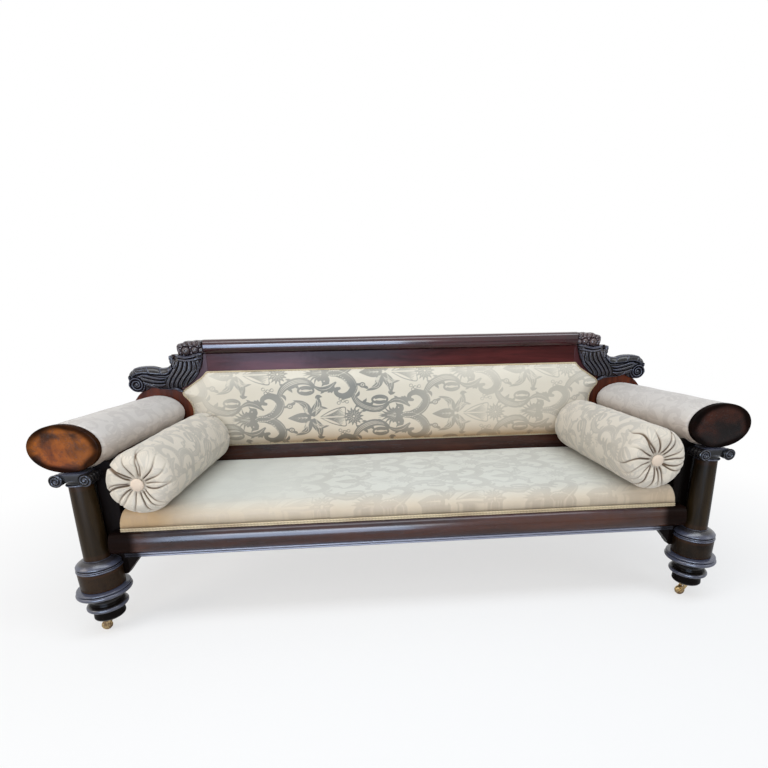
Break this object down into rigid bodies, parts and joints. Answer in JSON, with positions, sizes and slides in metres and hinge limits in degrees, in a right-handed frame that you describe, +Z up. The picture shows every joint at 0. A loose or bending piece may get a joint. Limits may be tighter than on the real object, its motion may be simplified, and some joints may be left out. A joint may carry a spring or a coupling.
{
  "type": "recamier",
  "caption": "Long column-arm sofa: mahogany frame on turned feet, padded oval arm rolls, panelled damask back under a carved crest, crowned seat, loose bolsters and brass casters",
  "frame": {"origin": "on the floor at the centre of the sofa's plan, under the middle of the seat", "axes": "+X along the sofa to the right of a person who looks at its front, +Y towards its back, +Z up"},
  "size_m": [2.2924, 0.7742, 0.9236],
  "materials": {
    "mahogany": "old french polish over straight mahogany, glossy, rubbed brown at edges",
    "dark_mahogany": "darkened polish on turned mahogany, semi gloss, worn at the high edges",
    "veneer": "figured crotch mahogany veneer, glossy",
    "carved_mahogany": "carved mahogany, dark in the hollows, polished on the ribs",
    "secondary_wood": "bare sawn poplar or pine, matt",
    "damask": "cream woven damask with grey-green satin figure",
    "webbing": "plain jute webbing",
    "caster_brass": "old cast brass, dull with bright wear"
  },
  "bodies": {
    "frame": {"front_foot_left": "dark_mahogany", "drum_left": "dark_mahogany", "column_base_left": "dark_mahogany", "column_left": "dark_mahogany", "capital_left": "dark_mahogany", "arm_board_left": "dark_mahogany", "front_post_left": "dark_mahogany", "rail_bracket_left": "dark_mahogany", "side_rail_left": "mahogany", "rear_leg_left": "mahogany", "roll_cap_left": "veneer", "back_stile_left": "veneer", "crest_horn_left": "carved_mahogany", "crest_fruit_left": "carved_mahogany", "roll_core_left": "secondary_wood", "roll_pad_left": "damask", "front_foot_right": "dark_mahogany", "drum_right": "dark_mahogany", "column_base_right": "dark_mahogany", "column_right": "dark_mahogany", "capital_right": "dark_mahogany", "arm_board_right": "dark_mahogany", "front_post_right": "dark_mahogany", "rail_bracket_right": "dark_mahogany", "side_rail_right": "mahogany", "rear_leg_right": "mahogany", "roll_cap_right": "veneer", "back_stile_right": "veneer", "crest_horn_right": "carved_mahogany", "crest_fruit_right": "carved_mahogany", "roll_core_right": "secondary_wood", "roll_pad_right": "damask", "front_seat_rail": "mahogany", "crest_rail": "mahogany", "lower_back_rail": "mahogany", "front_rail_bead": "dark_mahogany", "crest_frieze": "veneer", "back_seat_rail": "secondary_wood", "back_panel": "secondary_wood", "back_stretcher": "secondary_wood", "seat_webbing": "webbing", "seat_pad": "damask", "seat_piping": "damask", "back_pad": "damask", "back_piping": "damask"},
    "caster_front_left": {"caster_horn_front_left": "caster_brass"},
    "wheel_front_left": {"caster_wheel_front_left": "caster_brass"},
    "caster_rear_left": {"caster_horn_rear_left": "caster_brass"},
    "wheel_rear_left": {"caster_wheel_rear_left": "caster_brass"},
    "loose_bolster_left": {"bolster_left": "damask", "bolster_button_front_left": "damask", "bolster_button_back_left": "damask"},
    "caster_front_right": {"caster_horn_front_right": "caster_brass"},
    "wheel_front_right": {"caster_wheel_front_right": "caster_brass"},
    "caster_rear_right": {"caster_horn_rear_right": "caster_brass"},
    "wheel_rear_right": {"caster_wheel_rear_right": "caster_brass"},
    "loose_bolster_right": {"bolster_right": "damask", "bolster_button_front_right": "damask", "bolster_button_back_right": "damask"}
  },
  "joints": [
    {"name": "caster_swivel_front_left", "type": "hinge", "parent": "frame", "child": "caster_front_left", "pos_m": [-1, -0.30815, 0.05], "axis": [0, 0, 1], "continuous": true},
    {"name": "wheel_spin_front_left", "type": "hinge", "parent": "caster_front_left", "child": "wheel_front_left", "pos_m": [-1.018, -0.30815, 0.016], "axis": [0, 1, 0], "continuous": true},
    {"name": "caster_swivel_rear_left", "type": "hinge", "parent": "frame", "child": "caster_rear_left", "pos_m": [-0.919, 0.36715, 0.05], "axis": [0, 0, 1], "continuous": true},
    {"name": "wheel_spin_rear_left", "type": "hinge", "parent": "caster_rear_left", "child": "wheel_rear_left", "pos_m": [-0.937, 0.36715, 0.016], "axis": [0, 1, 0], "continuous": true},
    {"name": "bolster_lift_left", "type": "slide", "parent": "frame", "child": "loose_bolster_left", "axis": [0.5, 0, 0.866], "range_m": [0, 0.3]},
    {"name": "caster_swivel_front_right", "type": "hinge", "parent": "frame", "child": "caster_front_right", "pos_m": [1, -0.30815, 0.05], "axis": [0, 0, 1], "continuous": true},
    {"name": "wheel_spin_front_right", "type": "hinge", "parent": "caster_front_right", "child": "wheel_front_right", "pos_m": [0.982, -0.30815, 0.016], "axis": [0, 1, 0], "continuous": true},
    {"name": "caster_swivel_rear_right", "type": "hinge", "parent": "frame", "child": "caster_rear_right", "pos_m": [0.919, 0.36715, 0.05], "axis": [0, 0, 1], "continuous": true},
    {"name": "wheel_spin_rear_right", "type": "hinge", "parent": "caster_rear_right", "child": "wheel_rear_right", "pos_m": [0.901, 0.36715, 0.016], "axis": [0, 1, 0], "continuous": true},
    {"name": "bolster_lift_right", "type": "slide", "parent": "frame", "child": "loose_bolster_right", "axis": [-0.5, 0, 0.866], "range_m": [0, 0.3]}
  ]
}
